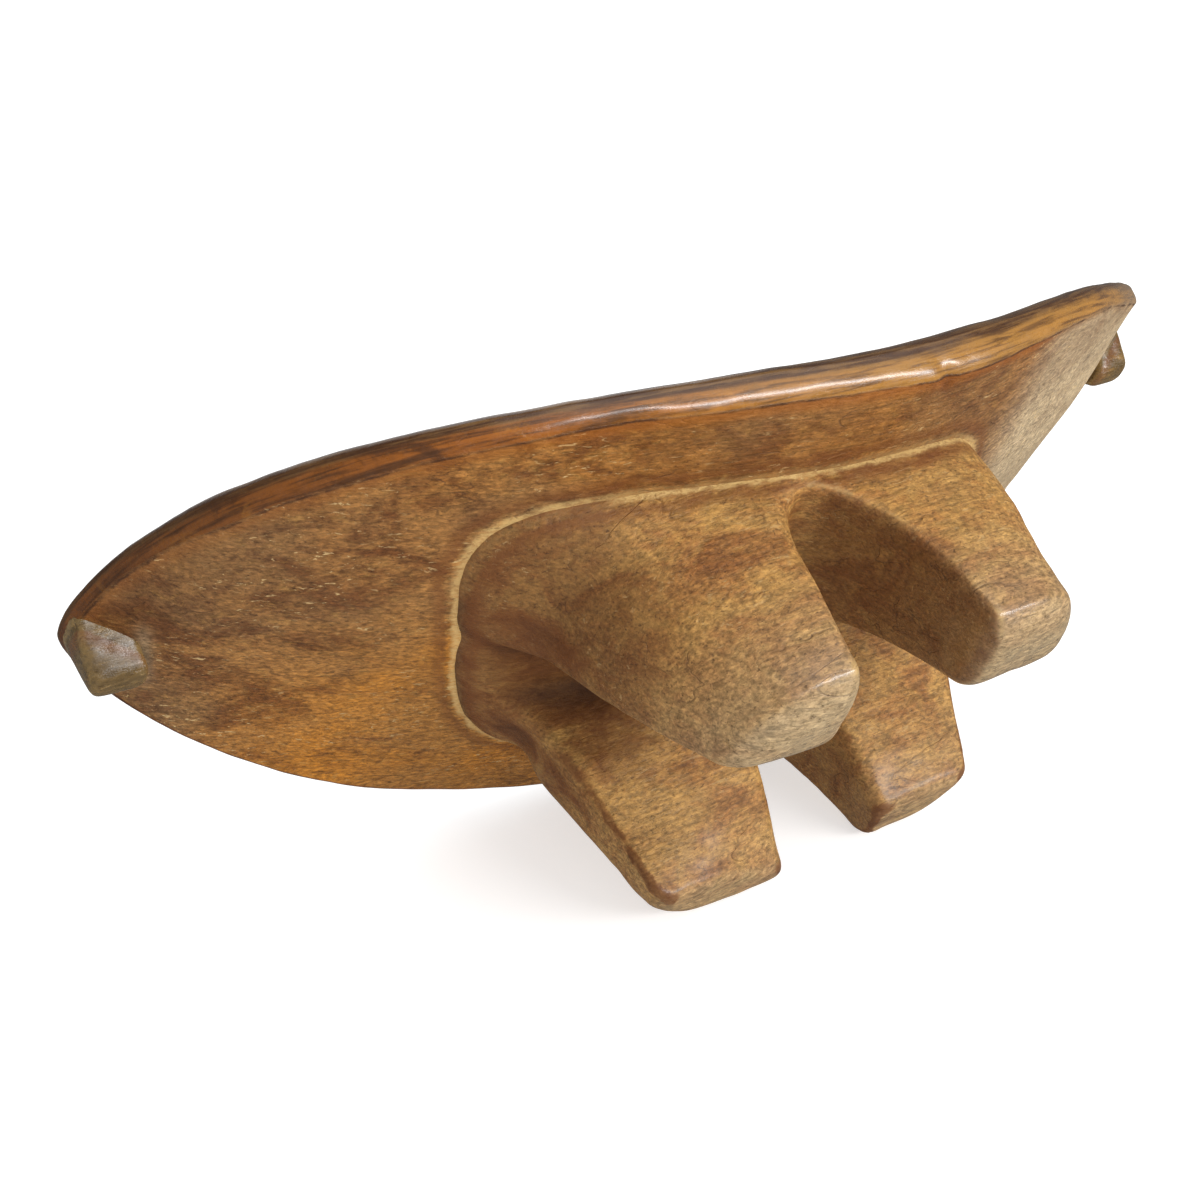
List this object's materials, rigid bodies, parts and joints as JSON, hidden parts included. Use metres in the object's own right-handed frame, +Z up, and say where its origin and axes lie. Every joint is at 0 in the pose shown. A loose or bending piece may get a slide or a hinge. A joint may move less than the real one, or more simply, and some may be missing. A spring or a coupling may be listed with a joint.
{
  "type": "carved wooden headrest",
  "caption": "Boat-shaped carved wooden headrest with raised ends, a slanted rim band, short end lugs and splayed blade legs under a bowed rest.",
  "frame": {"origin": "middle of the ground rectangle under the headrest as it stands, with the four soles on Z = 0", "axes": "+X along the length towards the right end, +Y across the width towards the back, +Z up through the rest"},
  "size_m": [0.4996, 0.236, 0.1519],
  "materials": {
    "rest_wood": "hand-carved hardwood, polished by handling, darker on the rim",
    "block_wood": "hand-carved hardwood, satin, worn pale on the edges",
    "leg_wood": "hand-carved hardwood, satin, worn pale on the soles",
    "lug_wood": "hand-carved hardwood, greyed and polished by handling"
  },
  "bodies": {
    "root": {"headrest_top": "rest_wood", "leg_base": "block_wood", "leg_front_left": "leg_wood", "leg_front_right": "leg_wood", "leg_back_left": "leg_wood", "leg_back_right": "leg_wood", "lug_left": "lug_wood", "lug_right": "lug_wood"}
  },
  "joints": []
}
